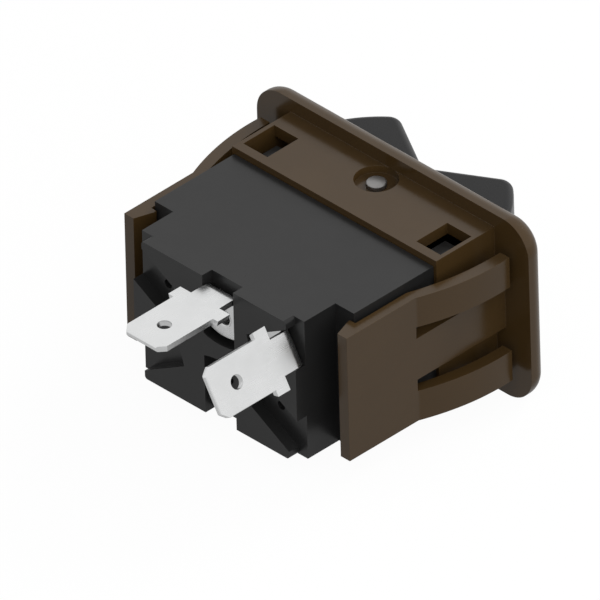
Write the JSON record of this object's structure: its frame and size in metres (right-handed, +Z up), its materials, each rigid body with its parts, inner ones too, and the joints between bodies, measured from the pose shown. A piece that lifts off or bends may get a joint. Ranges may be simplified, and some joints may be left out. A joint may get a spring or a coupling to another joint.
{
  "type": "electrical switch",
  "caption": "Snap-in panel rocker switch with a rounded flange, bowed spring arms, a V-shaped rocker and flat quick-connect tabs on a black base.",
  "frame": {"origin": "middle of the flange's rear face, where it meets the front of the panel", "axes": "+Y from the panel to the terminals (the rocker looks along -Y), +X along the flange's length, +Z up"},
  "size_m": [0.043, 0.0499, 0.024],
  "materials": {
    "brown_plastic": "smooth brown nylon",
    "black_plastic": "black moulding with a fine grain",
    "rocker_plastic": "black moulding with a fine grain",
    "pin_steel": "plain steel",
    "tinned_brass": "bright tin plate",
    "bare_brass": "bare brass",
    "contact_silver": "silver alloy",
    "natural_nylon": "natural nylon",
    "spring_steel": "spring steel"
  },
  "bodies": {
    "base": {"bezel": "brown_plastic", "housing": "black_plastic", "pivot_pin": "pin_steel", "common_terminal": "tinned_brass", "load_terminal": "tinned_brass", "common_rivet": "tinned_brass", "load_rivet": "tinned_brass", "fulcrum_bracket": "bare_brass", "contact_strip": "bare_brass", "fixed_contact": "contact_silver"},
    "rocker": {"rocker": "rocker_plastic", "plunger_spring": "spring_steel"},
    "plunger": {"plunger": "natural_nylon"},
    "seesaw": {"seesaw": "bare_brass", "moving_contact": "contact_silver"}
  },
  "joints": [
    {"name": "rocker_tilt", "type": "hinge", "parent": "base", "child": "rocker", "pos_m": [0, 0.00252, 0], "axis": [0, 0, 1], "range_deg": [-11, 11]},
    {"name": "seesaw_tilt", "type": "hinge", "parent": "base", "child": "seesaw", "pos_m": [0, 0.02053, 0], "axis": [0, 0, 1], "range_deg": [-7.5, 7.5]},
    {"name": "plunger_slide", "type": "slide", "parent": "rocker", "child": "plunger", "axis": [0, 1, 0], "range_m": [-0.0006, 0], "stiffness_N_per_m": 400, "deforming": ["plunger_spring"]}
  ],
  "couplings": [
    {"joint": "seesaw_tilt", "follows": "rocker_tilt", "ratio": -0.6818}
  ]
}
